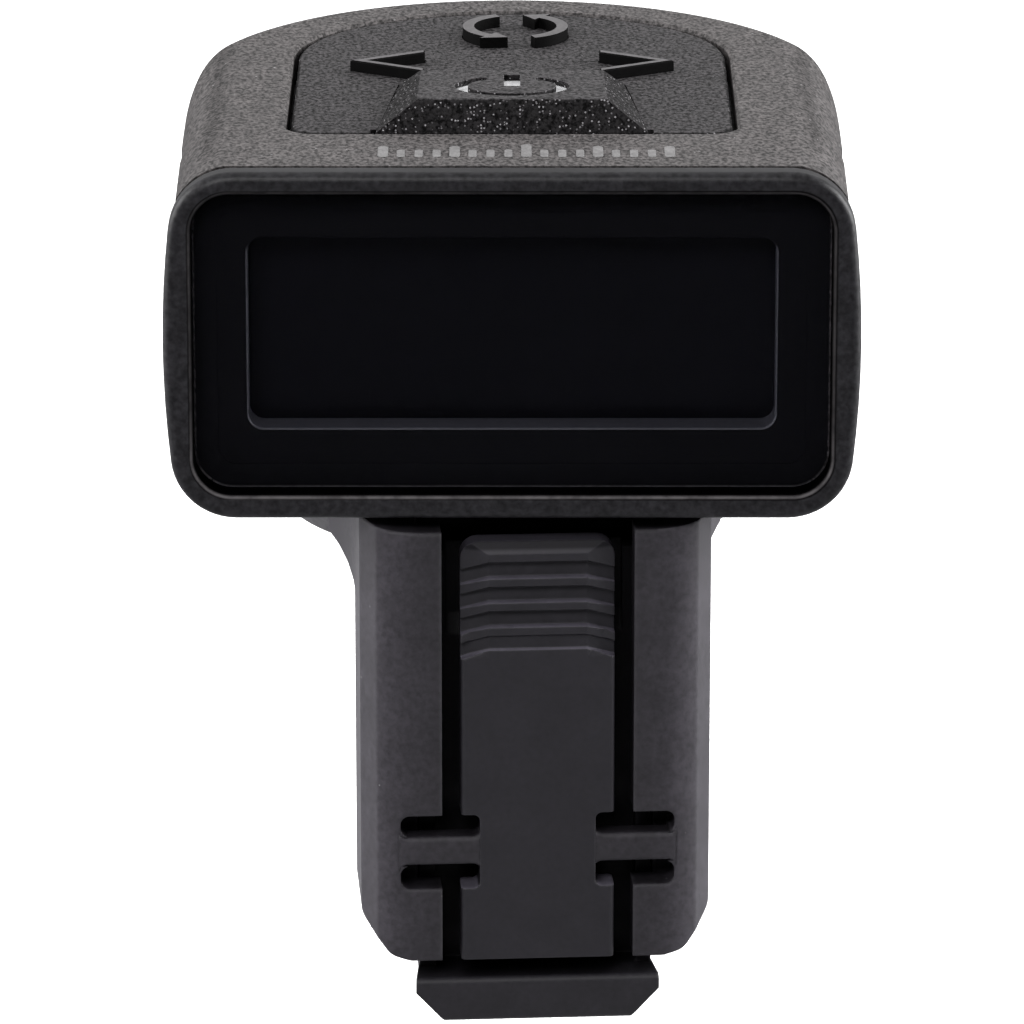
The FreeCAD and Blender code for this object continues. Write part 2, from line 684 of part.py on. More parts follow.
def swivel_retaining_washer():
    return one(cyl(4.9, 2.04, 2.55).cut(cyl(0.95, 1, 4)))


def swivel_screw():
    screw = cyl(0.80, 1.9, 6.4).fuse(cyl(2.0, 1.46, 1.99))
    return one(cut_cross(screw, 0, 0, 1.1, 0.2, 1.3, 1.75))


def swivel_friction_washer():
    ring = cyl(6.2, PLATE_Z1 + 0.05, HEAD_Z0 - 0.06)
    return one(ring.cut(cyl(SPINDLE_R + 0.08, PLATE_Z1 - 1, HEAD_Z0 + 1)))


# ================================================================== clamp: sleeve and fixed jaw
# plan blend from the sleeve flank to the round swivel plate
BLEND_R = 9.0
BLEND_X = SLEEVE_HW + BLEND_R
BLEND_Y = -math.sqrt((PLATE_R + BLEND_R) ** 2 - BLEND_X ** 2)


def clamp_outline(z0, z1):
    """Plan of the clamp: eased front corners, straight flanks and a round back."""
    tangent_x = BLEND_X * PLATE_R / (PLATE_R + BLEND_R)
    tangent_y = BLEND_Y * PLATE_R / (PLATE_R + BLEND_R)
    end_angle = math.atan2(tangent_y - BLEND_Y, tangent_x - BLEND_X)
    mid_angle = 0.5 * (math.pi + end_angle)
    mid_x = BLEND_X + BLEND_R * math.cos(mid_angle)
    mid_y = BLEND_Y + BLEND_R * math.sin(mid_angle)
    edges = [Part.makeLine(V(-5.3, CLAMP_Y, z0), V(5.3, CLAMP_Y, z0))]
    for side in (1, -1):
        front = V(side * 5.3, CLAMP_Y, z0)
        corner_mid = V(side * 6.25, CLAMP_Y + 0.13, z0)
        corner = V(side * 7.05, CLAMP_Y + 0.55, z0)
        flank_front = V(side * SLEEVE_HW, CLAMP_Y + 1.70, z0)
        flank_back = V(side * SLEEVE_HW, BLEND_Y, z0)
        tangent = V(side * tangent_x, tangent_y, z0)
        edges += [
            arc(front, corner_mid, corner),
            Part.makeLine(corner, flank_front),
            Part.makeLine(flank_front, flank_back),
            arc(flank_back, V(side * mid_x, mid_y, z0), tangent),
        ]
    edges.append(arc(V(tangent_x, tangent_y, z0), V(0, PLATE_R, z0), V(-tangent_x, tangent_y, z0)))
    return extrude_edges(Part.__sortEdges__(edges), V(0, 0, z1 - z0))


def clamp_frame():
    plate = clamp_outline(PLATE_Z0, PLATE_Z1)
    plate = chamfer(
        plate, 1.5, flat_z(PLATE_Z0), lambda edge: edge.BoundBox.YMin > BLEND_Y - 0.05)
    plate = fillet(plate, 0.15, flat_z(PLATE_Z1))

    right = [  # x, z
        (SLEEVE_HW, PLATE_Z1 - 0.6), (SLEEVE_HW, SLEEVE_Z0 + 1.76),
        (6.49, SLEEVE_Z0 + 0.23), (5.6, SLEEVE_Z0),
    ]
    sleeve = prism_y(right + [(-x, z) for x, z in reversed(right)], CLAMP_Y, SLEEVE_Y1)
    sleeve = fillet(
        sleeve, 0.8, along("y"), lambda edge: edge.BoundBox.ZMax < SLEEVE_Z0 + 2)
    mask = clamp_outline(SLEEVE_Z0 - 1, PLATE_Z1 + 1)
    mask = mask.common(box(-20, -20, SLEEVE_Z0 - 2, 20, SLEEVE_Y1, PLATE_Z1 + 2))
    frame = sleeve.common(mask).fuse(plate)

    # raised ears at the front corners and flares under the plate, both flush with the outline
    ear_points = [  # x, z
        (5.2, 4.5), (5.2, 4.95), (6.4, 5.03), (7.05, 5.14), (7.4, 5.26), (7.9, 5.42), (7.9, 4.5),
    ]
    flare_points = [  # x, z
        (7.0, 0.30), (7.72, 0.40), (7.80, 0.95), (8.00, 1.45),
        (8.35, 1.95), (8.9, 2.45), (8.9, 3.4), (7.0, 3.4),
    ]
    outline = clamp_outline(-1.0, 7.0)
    for side in SIDES:
        for points, y0, y1 in ((ear_points, CLAMP_Y - 0.5, -14.9), (flare_points, -12.95, -8.4)):
            wedge = prism_y([(side * x, z) for x, z in points], y0, y1)
            frame = frame.fuse(wedge.common(outline))

    # rail channel, open at both ends, and the opening round the release lever
    z0, z1 = SLEEVE_Z0 - 1, PLATE_Z1 + 1
    frame = frame.cut(box(-CHANNEL_HW, CHANNEL_Y0, z0, CHANNEL_HW, CHANNEL_Y1, z1))
    front, back = CLAMP_Y - 1, CHANNEL_Y0 + 0.1
    frame = frame.cut(box(-LEVER_SLOT_HW, front, z0, LEVER_SLOT_HW, back, z1))
    # cross slots below and above each torsion web, and the web's own space
    for side in SIDES:
        x0, x1 = side * 3.0, side * CROSS_X1
        for z0, z1 in ((CROSS_Z0, WEB_Z0), (WEB_Z1, CROSS_Z1)):
            frame = frame.cut(rounded_y(x0, z0, x1, z1, 0.42, front, back))
        frame = frame.cut(box(x0, front, WEB_Z0 - 0.02, x1, back, WEB_Z1 + 0.02))
    # swivel bore with a counterbore below for the retaining washer
    frame = frame.cut(cyl(SPINDLE_R + 0.06, 0, 8))
    return one(frame.cut(cyl(5.2, 0, 2.70)))


def cut_grip_grooves(pad, z, places):
    for y in places:
        pad = pad.cut(cyl_x(0.28, 24.0, y, z))
    return pad


def upper_jaw_pad():
    """Fixed jaw pad: disc with shallow grip grooves."""
    pad = fillet(one(cyl(8.60, 0.0, 1.35)), PAD_EDGE_R, flat_z(0.0))
    return one(cut_grip_grooves(pad, -0.10, (-7.5, -5.0, 5.0, 7.5)))


# ================================================================== clamp: release lever
def release_lever():
    y = CLAMP_Y
    lever = box(-LEVER_HW, y, SLEEVE_Z0, LEVER_HW, LEVER_BACK, LEVER_Z1)
    lever = fillet(lever, 0.80, along("y"), lambda edge: edge.BoundBox.ZMin > LEVER_Z1 - 0.1)
    lever = fillet(lever, 0.22, along("z"))
    # side notches at the torsion webs
    for side in SIDES:
        lever = lever.cut(rounded_y(
            side * CROSS_X0, CROSS_Z0, side * 4.5, CROSS_Z1, 0.30, y - 1, y + 3))

    # crowned thumb zone: flat crest in the middle, flanks falling back
    flank_limit = prism_x([
        (y - 0.1, HEAD_Z0 - 6.85), (y + 0.7, HEAD_Z0 - 4.20), (y + 0.7, 9), (y - 0.1, 9),
    ], -5, 5)
    for side in SIDES:
        flank = prism_z([
            (side * CROWN_HW, y - 0.01), (side * 3.6, y - 0.01), (side * 3.6, y + 0.58),
        ], -3, LEVER_Z1 + 1)
        lever = lever.cut(flank.common(flank_limit))
    # bevel at the upper end
    lever = lever.cut(prism_x([
        (y - 0.1, RIB_Z[0] + 0.12), (y, RIB_Z[0]),
        (y + 0.36, LEVER_Z1 + 0.05), (y - 0.1, LEVER_Z1 + 0.1),
    ], -5, 5))

    # Each groove drops back sharply below a crest and runs out to a narrow ledge over the
    # next one. The lowest is half as deep.
    depths = [RIB_DEPTH] * 3 + [0.5 * RIB_DEPTH]
    for z, z_next, depth in zip(RIB_Z, RIB_Z[1:], depths):
        profile = [  # y, z
            (y - 0.3, z - 0.33), (y, z - 0.33), (y + depth, z - 0.47),
            (y + 0.75 * depth, z_next + 0.07), (y, z_next), (y - 0.3, z_next),
        ]
        lever = lever.cut(prism_x(profile, -CROWN_HW, CROWN_HW))
        for side in SIDES:
            points = [V(side * CROWN_HW, *point) for point in profile]
            lever = lever.cut(extrude_points(points, V(side * 1.5, 0.42, -0.50)))

    # pawl at the lower end, reaching back to the rack
    tip = CREST_Y - 0.05
    pawl_z0 = PAWL_Z1 - 1.02
    pawl = prism_x([
        (LEVER_BACK - 0.3, PAWL_Z1), (tip, PAWL_Z1), (tip, PAWL_Z1 - 0.16),
        (LEVER_BACK - 0.1, pawl_z0), (LEVER_BACK - 0.3, pawl_z0),
    ], -2.3, 2.3)
    return one(one(lever).fuse(pawl))


def torsion_web(side):
    """Web between the lever and one sleeve flank."""
    x0, x1 = side * (CROSS_X0 + 0.02), side * (CROSS_X1 - 0.03)
    web = box(x0, CLAMP_Y + 0.03, WEB_Z0 + 0.02, x1, CLAMP_Y + 1.23, WEB_Z1 - 0.02)
    return one(fillet(web, 0.15, along("x")))


# ================================================================== clamp: sliding jaw
def round_ended(radius, y0, z0, z1):
    """Plate with straight flanks and a round back end."""
    plate = box(-radius, y0, z0, radius, JAW_END_Y, z1)
    return one(plate.fuse(cyl(radius, z0, z1, 0, JAW_END_Y)))


def rack_rail():
    root_y = CREST_Y + TOOTH_H
    z0 = FOOT_Z1 - 0.5
    rail = box(-RAIL_HW, root_y, z0, RAIL_HW, RAIL_Y1, RAIL_Z1)
    for side in SIDES:
        rail = rail.fuse(box(side * 4.45, -15.78, z0, side * RAIL_HW, RAIL_Y1, RAIL_Z1))
    rail = chamfer(rail, 0.25, flat_z(RAIL_Z1), along("x"))
    # relief for the lever's upper end when it is pressed
    relief = prism_x(
        [(-15.0, -1.2), (-14.0, 0.2), (-14.0, 5.0), (-16.5, 5.0), (-16.5, -1.2)], -3.9, 3.9)
    rail = rail.cut(relief.cut(box(-5, -16.6, -2, 5, -15.0, 6)))

    # teeth: flat below, ramp above, so the jaw climbs freely and locks against opening
    teeth = []
    for i in range(TOOTH_COUNT):
        z = PAWL_Z1 + 0.16 + TOOTH_PITCH * i
        ramp_end = z + TOOTH_PITCH * 0.98
        teeth.append(prism_x([
            (root_y + 0.05, z), (CREST_Y, z), (CREST_Y, z + 0.12),
            (root_y, ramp_end), (root_y + 0.05, ramp_end),
        ], -2.55, 2.55))
    rack = teeth[0]
    for tooth in teeth[1:]:
        rack = rack.fuse(tooth)
    return rail.fuse(rack)


def jaw_foot():
    """Foot and spine: about rail wide, running back under the jaw and fading out."""
    foot = prism_z([
        (-FOOT_HW, CLAMP_Y), (FOOT_HW, CLAMP_Y), (4.85, -12.6),
        (4.40, 4.0), (-4.40, 4.0), (-4.85, -12.6),
    ], FOOT_Z0, FOOT_Z1 + 0.3)
    below = FOOT_Z0 - 0.1
    foot = foot.cut(prism_x([(-9.5, below), (5.0, below), (5.0, -14.9), (-9.5, FOOT_Z0)], -12, 12))
    foot = foot.cut(box(-12, CLAMP_Y - 1, FOOT_Z1, 12, SLEEVE_Y1 + 0.1, 0))
    # slanted lower flanks
    slant_z = FOOT_Z1 - 0.62
    for side in SIDES:
        foot = foot.cut(prism_y([
            (side * 4.10, FOOT_Z0), (side * (FOOT_HW + 0.02), slant_z), (side * 6.5, slant_z),
            (side * 6.5, FOOT_Z0 - 1), (side * 4.10, FOOT_Z0 - 1),
        ], CLAMP_Y - 1, 5))
    return fillet(
        foot, 0.30, along("x"), lambda edge: abs(edge.BoundBox.YMin - CLAMP_Y) < 0.01)


def sliding_jaw():
    jaw = round_ended(JAW_R, -10.85, FOOT_Z1, JAW_TOP)
    jaw = fillet(jaw, 0.25, flat_z(JAW_TOP), reaches_y(-10.8))
    # underside rising towards the end
    below = FOOT_Z1 - 0.1
    jaw = jaw.cut(prism_x([(-11.0, below), (12.0, below), (12.0, -13.7), (-11.0, FOOT_Z1)], -12, 12))
    return one(jaw_foot().fuse(jaw).fuse(rack_rail()))


def lower_jaw_pad():
    pad = round_ended(6.7, -10.4, JAW_TOP + 0.05, -JAW_GAP)
    pad = fillet(pad, PAD_EDGE_R, flat_z(-JAW_GAP))
    return one(cut_grip_grooves(pad, -JAW_GAP + 0.10, (-8.0, -5.5, 3.0, 5.5)))


# ================================================================== build and write the pieces
def build_all(builders):
    return {build.__name__: build() for build in builders}


head_pieces = build_all([
    head_shell, head_base, front_bezel, display_lens, lcd_frame, lcd_panel, lcd_backlight,
    lcd_flex_ribbon, lcd_connector, power_key, power_light_guide, flip_key, keypad_membrane,
    main_circuit_board, pcb_screws, tact_switches, power_led, microcontroller, crystal,
    smd_components, battery_tray, coin_cell, battery_contact_positive,
    battery_contact_negative, piezo_disc, piezo_ceramic, piezo_wires, case_screws,
    swivel_retaining_washer, swivel_screw,
])
for switch, place in SWITCHES.items():
    head_pieces[switch + "_switch_stem"] = switch_stem(*place)

clamp_pieces = build_all([
    swivel_friction_washer, clamp_frame, upper_jaw_pad, release_lever, sliding_jaw, lower_jaw_pad,
])
for side, word in zip(SIDES, ("left", "right")):
    head_pieces[word + "_arrow_key"] = arrow_key(side)
    clamp_pieces["torsion_web_" + word] = torsion_web(side)

for shape in head_pieces.values():
    shape.rotate(V(0, 0, 0), V(0, 0, 1), HEAD_TURN)

os.makedirs("parts", exist_ok=True)
for name, shape in {**head_pieces, **clamp_pieces}.items():
    shape.exportStep("parts/%s.step" % name)
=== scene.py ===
"""Clip-on device: a head with a display and keys, on a clamp with a jaw and a release lever.

Metres, +Z up. The display faces -Y. The head is turned a little about Z on its swivel.
The solid pieces come from the frame; this script adds finishes with painted light and shade,
print, torsion webs and studio.
"""
import json
import math

import bmesh
import bpy
from mathutils import Matrix, Vector


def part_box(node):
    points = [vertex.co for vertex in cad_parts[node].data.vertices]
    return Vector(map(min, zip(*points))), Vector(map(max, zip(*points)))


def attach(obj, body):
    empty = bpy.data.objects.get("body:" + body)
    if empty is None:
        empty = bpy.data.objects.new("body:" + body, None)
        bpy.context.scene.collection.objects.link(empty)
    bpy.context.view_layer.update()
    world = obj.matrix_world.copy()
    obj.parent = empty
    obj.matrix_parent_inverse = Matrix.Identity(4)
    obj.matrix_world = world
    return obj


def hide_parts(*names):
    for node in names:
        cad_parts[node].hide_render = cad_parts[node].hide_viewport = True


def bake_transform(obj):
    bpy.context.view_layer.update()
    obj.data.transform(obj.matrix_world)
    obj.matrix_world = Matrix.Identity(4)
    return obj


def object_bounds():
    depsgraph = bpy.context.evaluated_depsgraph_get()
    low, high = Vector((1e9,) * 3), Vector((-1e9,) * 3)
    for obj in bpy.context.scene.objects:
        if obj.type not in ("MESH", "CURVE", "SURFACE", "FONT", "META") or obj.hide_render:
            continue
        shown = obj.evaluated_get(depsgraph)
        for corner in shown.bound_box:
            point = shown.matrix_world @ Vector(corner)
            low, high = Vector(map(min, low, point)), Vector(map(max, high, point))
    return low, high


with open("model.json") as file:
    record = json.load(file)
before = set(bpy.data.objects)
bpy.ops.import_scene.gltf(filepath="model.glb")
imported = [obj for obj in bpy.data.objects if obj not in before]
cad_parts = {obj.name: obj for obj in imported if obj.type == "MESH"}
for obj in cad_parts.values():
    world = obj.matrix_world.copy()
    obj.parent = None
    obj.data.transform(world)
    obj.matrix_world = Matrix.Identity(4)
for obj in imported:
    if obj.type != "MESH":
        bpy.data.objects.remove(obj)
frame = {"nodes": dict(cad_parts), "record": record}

MM = 0.001
CAD_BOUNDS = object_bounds()

HEAD_TURN = math.radians(-3.75)
HEAD_ROTATION = Matrix.Rotation(HEAD_TURN, 4, "Z")
HEAD_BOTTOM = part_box("head_shell")[0].z
HEAD_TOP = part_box("head_shell")[1].z
BEZEL_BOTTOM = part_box("front_bezel")[0].z


def head_point(x, y, z):
    """Turn a point in the head's own axes (x and y in mm, z in metres) into the frame."""
    return HEAD_ROTATION @ Vector((x * MM, y * MM, z))


# ---------------------------------------------------------------- shader node helpers
NOISE = (0.3, 0.7)              # the span that most noise values fall in
MATERIALS = {}


class Value:
    """One output of a shader node. Arithmetic on it adds math nodes."""

    def __init__(self, tree, socket):
        self.tree = tree
        self.socket = socket

    def __add__(self, other):
        return self.tree.math("ADD", self, other)

    def __sub__(self, other):
        return self.tree.math("SUBTRACT", self, other)

    def __rsub__(self, other):
        return self.tree.math("SUBTRACT", other, self)

    def __mul__(self, other):
        return self.tree.math("MULTIPLY", self, other)

    def __pow__(self, other):
        return self.tree.math("POWER", self, other)

    def __abs__(self):
        return self.tree.math("ABSOLUTE", self)

    def remap(self, span, to, smooth=False):
        """Carry the values of `span` over to `to`, clamped at both ends."""
        inputs = {"Value": self, "From Min": span[0], "From Max": span[1],
                  "To Min": to[0], "To Max": to[1]}
        return self.tree.value("MapRange", "Result", inputs,
                               interpolation_type="SMOOTHSTEP" if smooth else "LINEAR")


class Nodes:
    """A node tree, emptied, with a short call for each kind of node used here."""

    def __init__(self, tree):
        self.tree = tree
        tree.nodes.clear()

    def feed(self, node, inputs):
        """Link or set the inputs of a node; colours are given as three numbers."""
        for key, value in inputs.items():
            socket = node.inputs[key]
            if isinstance(value, Value):
                self.tree.links.new(value.socket, socket)
            elif socket.type == "RGBA":
                socket.default_value = (*value, 1)
            else:
                socket.default_value = value

    def node(self, kind, inputs={}, **settings):
        node = self.tree.nodes.new("ShaderNode" + kind)
        for name, setting in settings.items():
            setattr(node, name, setting)
        self.feed(node, inputs)
        return node

    def out(self, node, output):
        return Value(self, node.outputs[output])

    def value(self, kind, output, inputs={}, **settings):
        return self.out(self.node(kind, inputs, **settings), output)

    def math(self, operation, *operands):
        return self.value("Math", 0, dict(enumerate(operands)), operation=operation)

    def coords(self):
        return self.value("TexCoord", "Object")

    def xyz(self, vector):
        node = self.node("SeparateXYZ", {0: vector})
        return [self.out(node, axis) for axis in "XYZ"]

    def facing_up(self):
        """Z of the face normal."""
        return self.xyz(self.value("NewGeometry", "True Normal"))[2]

    def scaled(self, vector, scale):
        return self.value("Mapping", "Vector", {"Scale": scale, "Vector": vector})

    def noise(self, vector, scale, detail=3.0, rough=0.55):
        inputs = {"Scale": scale, "Detail": detail, "Roughness": rough, "Vector": vector}
        return self.value("TexNoise", "Fac", inputs)

    def mix(self, factor, first, second):
        return self.value("Mix", 2, {0: factor, 6: first, 7: second}, data_type="RGBA")

    def tint(self, tone, colour):
        """A fixed colour times a varying tone."""
        channels = {i: tone * colour[i] for i in range(3)}
        return self.value("CombineColor", 0, channels)

    def bump(self, height, strength, distance, normal=None):
        inputs = {"Strength": strength, "Distance": distance, "Height": height}
        if normal is not None:
            inputs["Normal"] = normal
        return self.value("Bump", "Normal", inputs)

    def bevel(self, radius):
        return self.value("Bevel", "Normal", {"Radius": radius}, samples=4)

    def openness(self, distance, to):
        """Painted shade from ambient occlusion: goes from to[0] deep inside slots and gaps to
        to[1] in the open.
        """
        occlusion = self.value("AmbientOcclusion", "AO", {"Distance": distance}, samples=6)
        return occlusion.remap(span=(0.15, 0.75), to=to, smooth=True)


class Material(Nodes):
    """A new material with one principled shader."""

    def __init__(self, name):
        material = bpy.data.materials.new(name)
        material.use_nodes = True
        super().__init__(material.node_tree)
        self.output = self.node("OutputMaterial")
        self.shader = self.node("BsdfPrincipled")
        self.show(self.out(self.shader, "BSDF"))
        MATERIALS[name] = material

    def show(self, shader):
        self.feed(self.output, {"Surface": shader})

    def surface(self, inputs):
        self.feed(self.shader, inputs)


def around(amount, middle=1):
    """The span that strays from `middle` by the share `amount` both ways."""
    return middle * (1 - amount), middle * (1 + amount)


def head_x(x, y):
    """X along the head's own axis."""
    return x * math.cos(HEAD_TURN) + y * math.sin(HEAD_TURN)


# ---------------------------------------------------------------- parts of the plastic finish, with painted light and shade
def edge_mask(tree, bevel):
    """1 where a rounded edge turns away from the flat face beside it."""
    inputs = {0: bevel, 1: tree.value("NewGeometry", "Normal")}
    alignment = tree.value("VectorMath", "Value", inputs, operation="DOT_PRODUCT")
    return alignment.remap(span=(0.995, 0.80), to=(0.0, 1.0))


def fleck_mask(tree, coords, scale, size, keep):
    """Small round flecks: a share `keep` of the cells hold one."""
    cells = tree.node("TexVoronoi", {"Scale": scale, "Vector": coords}, feature="F1")
    dot = tree.out(cells, "Distance").remap(span=(size, size * 0.55), to=(0.0, 1.0))
    random = tree.node("SeparateColor", {0: tree.out(cells, "Color")})
    picked = tree.math("GREATER_THAN", tree.out(random, 0), 1.0 - keep)
    return dot * picked * tree.out(random, 1).remap(span=(0.0, 1.0), to=(0.15, 1.0))


def crease_shade(tree, x, width, depth):
    """Soft shade in the grip hollow along each side of the head."""
    object_x, object_y, _ = tree.xyz(tree.coords())
    off = abs(abs(head_x(object_x, object_y)) - x)
    shade = off.remap(span=(0.0, width), to=(depth, 0.0), smooth=True)
    return shade * (object_y * -1.0).remap(span=(0.0150, 0.0120), to=(0.0, 1.0), smooth=True)


def inward_shade(tree, middle, least):
    """Painted shade: falls to `least` on faces that look back to the middle of the bezel."""
    coords = tree.node("TexCoord")
    x, _, z = tree.xyz(tree.out(coords, "Object"))
    normal_x, _, normal_z = tree.xyz(tree.out(coords, "Normal"))
    outward = x * 0.5 * normal_x + (z - middle) * normal_z
    return outward.remap(span=(-0.0006, -0.0026), to=(1.0, least), smooth=True)


def lip_highlight(tree, noise_coords, half_width, middle, half_height, radius, offset, width, amount):
    """Painted highlight along a rounded rectangle, the inner lip of the display frame."""
    coords = tree.node("TexCoord")
    x, y, z = tree.xyz(tree.out(coords, "Object"))
    normal_y = tree.xyz(tree.out(coords, "Normal"))[1]
    past_x = tree.math("MAXIMUM", abs(head_x(x, y)) - (half_width - radius), 0.0)
    past_z = tree.math("MAXIMUM", abs(z - middle) - (half_height - radius), 0.0)
    distance = (past_x * past_x + past_z * past_z) ** 0.5
    line = abs(distance - (radius + offset)).remap(
        span=(0.0, width), to=(amount, 0.0), smooth=True)
    # strongest along the bottom edge
    line = line * z.remap(span=(middle - half_height * 0.95, middle - half_height * 0.5),
                          to=(1.0, 0.38), smooth=True)
    # only on faces turned to the front
    line = line * normal_y.remap(span=(-0.25, -0.45), to=(0.0, 1.0), smooth=True)
    patches = tree.noise(noise_coords, scale=1500.0)
    return line * patches.remap(span=(0.35, 0.60), to=(0.55, 1.0))


def plastic(name, colour, rough=0.5, spec=0.4, grain=7000.0, grain_amount=0.25,
            mottle=1400.0, mottle_amount=0.15, contrast=0.2, spec_grain=0.0, relief=0.25,
            depth=0.00002, stretch=(1, 1, 1), bevel=0.00007, coat=0.0, wear_and_highlight=0.0,
            wear_and_highlight_colour=None, fleck=None, flat_flecks=None, side_shade=None, recess_shade=None,
            ledge_highlight=None, cap_shade=None, crease=None, across=None, inward=None, lip=None):
    """Grained plastic or rubber.

    grain, mottle: noise scales, each with the share by which it varies the tone
    contrast: half span of the grain noise; a smaller one is harsher
    spec_grain: share by which the grain varies the reflection
    relief, depth: strength and distance of the bump
    wear: how far rounded edges go towards wear_and_highlight_colour, partly real rubbing and
    partly painted highlight
    flat_flecks: share of the flecks left on level faces
    upward: painted shade, the tone and reflection of side faces against level ones
    recess: painted shade, darkening inside gaps
    ledge: painted highlight, a gain on small faces that look up
    cap: painted shade, darkening above a height
    across: painted light, tone from the middle to the outer edges in X
    """
    tree = Material(name)
    coords = tree.scaled(tree.coords(), stretch)
    fine = tree.noise(coords, scale=grain, rough=0.6)
    broad = tree.noise(coords, scale=mottle, rough=0.5)
    fine_span = (0.5 - contrast, 0.5 + contrast)
    tone = fine.remap(fine_span, around(grain_amount)) * broad.remap(NOISE, around(mottle_amount))
    reflect = 1.0
    # painted shade: side faces are darker and reflect less than level faces
    if side_shade:
        up = tree.facing_up()
        tone = tone * up.remap(side_shade["span"], (side_shade["side_tone"], 1.0), smooth=True)
        reflect = up.remap(side_shade["span"], (side_shade["side_spec"], 1.0), smooth=True)
    # painted shade: the tone darkens inside gaps and slots
    if recess_shade:
        tone = tone * tree.openness(recess_shade["distance"], to=(recess_shade["floor"], 1.0))
    # painted highlight: small faces that look up are made lighter
    if ledge_highlight:
        tone = tone * tree.facing_up().remap(span=(0.45, 0.85), to=(1.0, ledge_highlight), smooth=True)
    # painted shade: tone and reflection dimmed above a height
    if cap_shade:
        z = tree.xyz(tree.coords())[2]
        reflect = z.remap(span=(cap_shade["z"], cap_shade["z"] + 0.00018), to=(1.0, cap_shade["tone"]), smooth=True)
        tone = tone * reflect
    if crease:
        shade = crease_shade(tree, **crease)
        tone = tone * (1.0 - shade)
        reflect = (1.0 - shade) * reflect
    # painted light: tone set by distance from the middle in X, lighter towards the side faces
    if across:
        x = tree.xyz(tree.coords())[0]
        tone = tone * abs(x).remap(across["span"], across["tone"], smooth=True)
    # painted shade on the inner walls of the bezel
    if inward:
        reflect = inward_shade(tree, **inward)
        tone = tone * reflect

    base = tree.tint(tone, colour)
    roughness = fine.remap(NOISE, (rough - 0.05, rough + 0.05))
    height = fine
    if fleck:
        mask = fleck_mask(tree, coords, fleck["scale"], fleck["size"], fleck["keep"])
        if flat_flecks is not None:
            mask = mask * tree.facing_up().remap(
                span=(0.86, 0.97), to=(1.0, flat_flecks), smooth=True)
        base = tree.mix(mask * fleck["amount"], base, fleck["colour"])
        roughness = roughness - mask * fleck["gloss"]
        height = fine + mask * fleck["raised"]
    rounded = tree.bevel(bevel)
    # lighter rounded edges: partly real rubbing, partly painted highlight
    if wear_and_highlight > 0:
        patches = tree.noise(coords, scale=900.0, detail=4.0)
        rubbed_and_highlit = edge_mask(tree, rounded) * wear_and_highlight
        rubbed_and_highlit = rubbed_and_highlit * patches.remap(span=(0.35, 0.65), to=(0.45, 1.0))
        base = tree.mix(rubbed_and_highlit, base, wear_and_highlight_colour or tuple(c * 2.4 for c in colour))
    # painted highlight: a light line along the inner lip of the bezel
    if lip:
        base = tree.mix(lip_highlight(tree, coords, **lip), base, (0.115, 0.108, 0.112))
    # the painted shade in gaps also dims the reflection there
    if recess_shade:
        spec = tree.openness(recess_shade["distance"], to=(spec * 0.1, spec)) * reflect
    elif spec_grain > 0 or isinstance(reflect, Value):
        spec = fine.remap(fine_span, around(spec_grain, spec)) * reflect
    tree.surface({"Base Color": base, "Roughness": roughness, "Specular IOR Level": spec,
                  "Normal": tree.bump(height, relief, depth, rounded)})
    if coat:
        tree.surface({"Coat Weight": coat, "Coat Roughness": 0.15})


def metal(name, colour, rough, brush=(4, 4, 60)):
    """Brushed metal; `brush` is the noise scale along each axis, in thousands."""
    tree = Material(name)
    coords = tree.coords()
    brushed = tree.noise(tree.scaled(coords, brush), scale=1000.0)
    broad = tree.noise(coords, scale=700.0)
    tone = brushed.remap(NOISE, around(0.12)) * broad.remap(NOISE, to=(0.92, 1.05))
    tree.surface({
        "Base Color": tree.tint(tone, colour),
        "Metallic": 1.0,
        "Roughness": brushed.remap(NOISE, (rough - 0.06, rough + 0.08)),
        "Normal": tree.bump(brushed, strength=0.15, distance=0.00001, normal=tree.bevel(0.00006)),
    })


# ---------------------------------------------------------------- plastics and rubbers
FLECK = dict(scale=4600.0, size=0.30, keep=0.16, amount=0.55, colour=(0.42, 0.41, 0.42),
             gloss=0.25, raised=0.8)
CLAMP_FLECK = dict(FLECK, scale=2600.0, size=0.16, amount=0.25)
HEAD_STRETCH = (1.0, 0.70, 1.0)         # grain of the head pieces, drawn out along Y

plastic("body_plastic", (0.0322, 0.0286, 0.0286), rough=0.66, spec=0.35, grain=5600.0,
        grain_amount=0.72, mottle=1100.0, mottle_amount=0.26, contrast=0.12, spec_grain=0.50,
        crease=dict(x=0.0132, width=0.0007, depth=0.34),
        side_shade=dict(side_tone=0.80, side_spec=0.60, span=(0.45, 0.97)),
        relief=0.8, depth=0.00005, fleck=dict(FLECK, keep=0.04, amount=0.30),
        wear_and_highlight=0.2, wear_and_highlight_colour=(0.11, 0.105, 0.105), bevel=0.00008, stretch=HEAD_STRETCH)
plastic("base_plastic", (0.045, 0.043, 0.044), rough=0.6, grain=5200.0, grain_amount=0.35,
        relief=0.45, depth=0.00003, wear_and_highlight=0.2)
plastic("keypad_rubber", (0.0122, 0.0108, 0.0118), rough=0.74, spec=0.26, grain=5600.0,
        grain_amount=0.85, mottle=1100.0, mottle_amount=0.25, contrast=0.12, spec_grain=0.62,
        side_shade=dict(side_tone=0.34, side_spec=0.40, span=(0.80, 0.985)),
        relief=0.8, depth=0.00005, flat_flecks=0.10,
        fleck=dict(FLECK, scale=7000.0, size=0.36, keep=0.42, amount=0.95,
                   colour=(0.26, 0.25, 0.26)),
        wear_and_highlight=0.6, wear_and_highlight_colour=(0.12, 0.112, 0.118), bevel=0.00006, stretch=HEAD_STRETCH)
